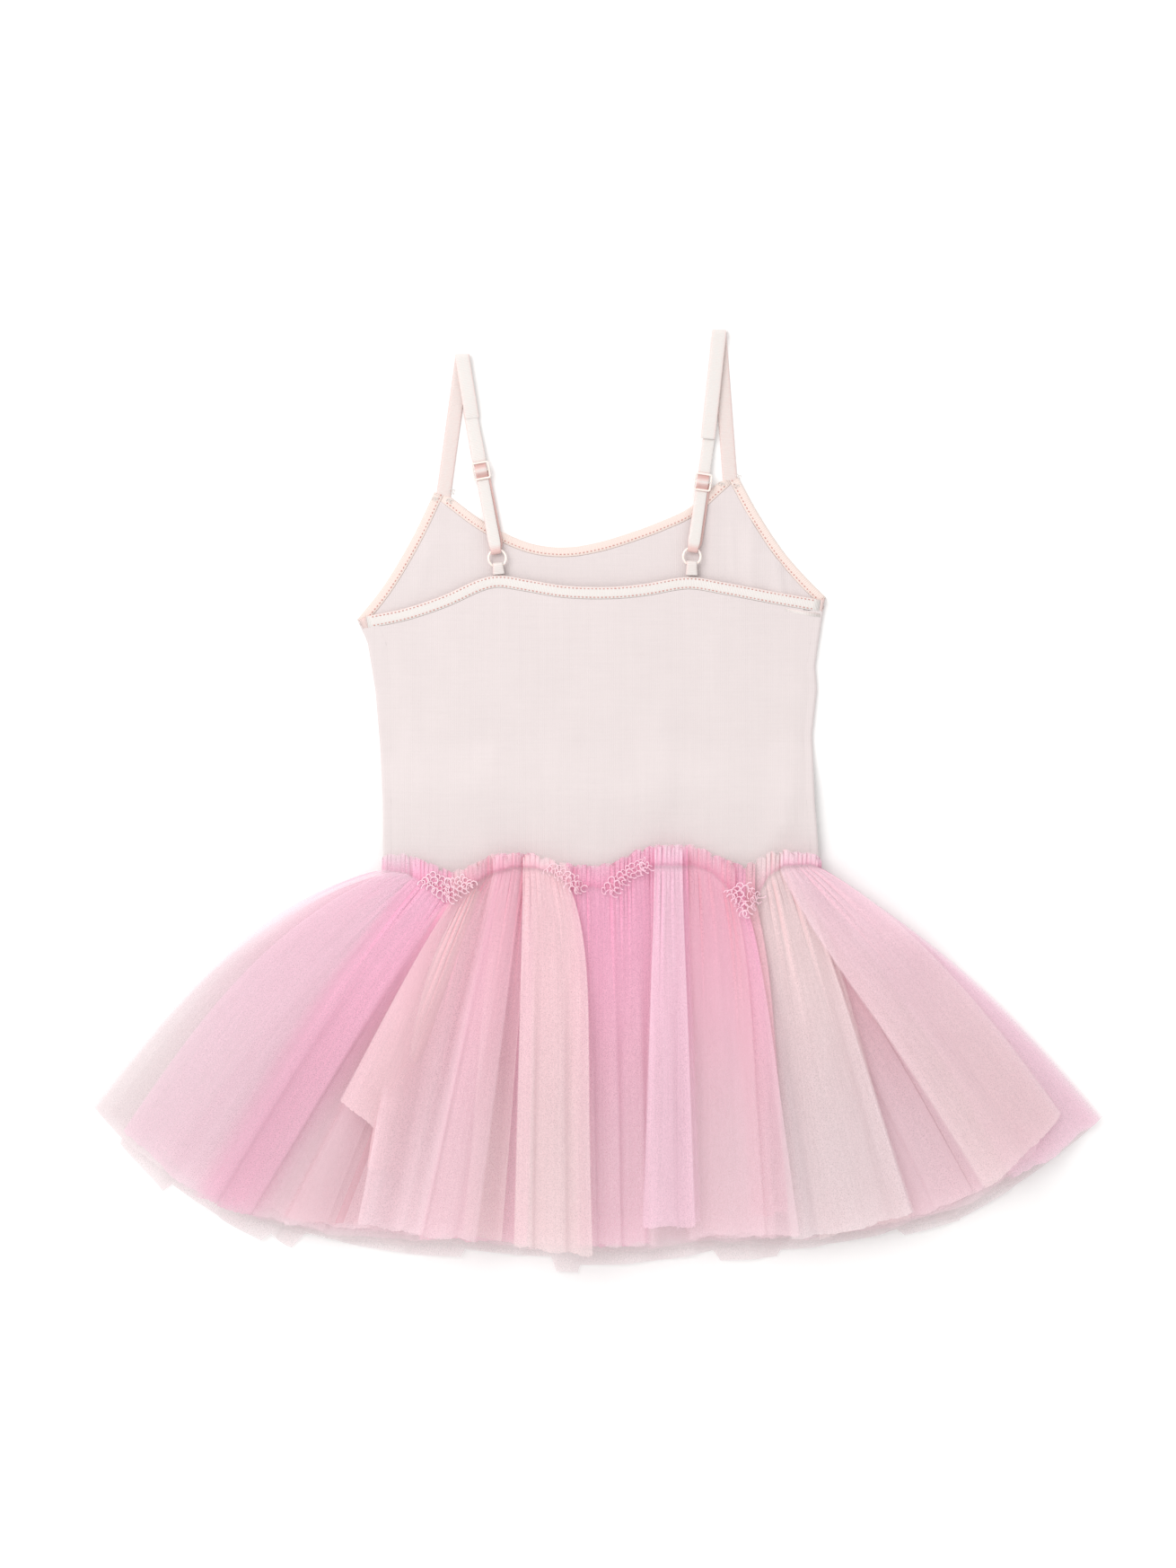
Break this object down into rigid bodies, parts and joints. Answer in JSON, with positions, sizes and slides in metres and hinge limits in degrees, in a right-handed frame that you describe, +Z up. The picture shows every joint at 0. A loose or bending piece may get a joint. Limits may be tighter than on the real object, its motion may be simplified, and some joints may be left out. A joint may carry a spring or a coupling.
{
  "type": "ballet dress",
  "caption": "Child's camisole ballet dress laid flat, back up, with slim adjustable straps and a full gathered tulle skirt.",
  "frame": {"origin": "centre of the bounding box in plan, on the surface that the dress lies on", "axes": "+Z up from the surface, +Y from the hem towards the shoulders, +X to the right as the back is seen from above"},
  "size_m": [0.5796, 0.5403, 0.0356],
  "materials": {
    "jersey": "fine matte cotton jersey, pale pinkish cream",
    "trim": "matte bound edge, pale peach",
    "satin": "satin elastic with a soft gloss",
    "plastic": "smooth pale pink moulded plastic",
    "tulle_lilac": "fine soft net, see-through, lilac pink",
    "tulle_peach": "fine soft net, see-through, peach",
    "tulle_pink": "fine soft net, see-through, pink",
    "tulle_rose": "fine soft net, see-through, deep rose pink",
    "tulle_mauve": "fine soft net, see-through, mauve pink",
    "tulle_underlayer": "fine soft net, see-through, dusty rose"
  },
  "bodies": {
    "root": {"front_panel": "jersey", "back_panel": "jersey", "neck_binding": "trim", "armhole_binding_left": "trim", "armhole_binding_right": "trim", "back_binding": "satin", "strap_left": "satin", "adjuster_left": "satin", "ring_tab_left": "satin", "slider_left": "plastic", "ring_left": "plastic", "strap_right": "satin", "adjuster_right": "satin", "ring_tab_right": "satin", "slider_right": "plastic", "ring_right": "plastic", "tulle_front": "tulle_underlayer", "tulle_under": "tulle_underlayer", "tulle_1_lilac": "tulle_lilac", "tulle_2_peach": "tulle_peach", "tulle_3_pink": "tulle_pink", "tulle_4_peach": "tulle_peach", "tulle_5_rose": "tulle_rose", "tulle_6_lilac": "tulle_lilac", "tulle_7_pink": "tulle_pink", "tulle_8_peach": "tulle_peach", "tulle_9_mauve": "tulle_mauve", "tulle_10_lilac": "tulle_lilac"}
  },
  "joints": []
}
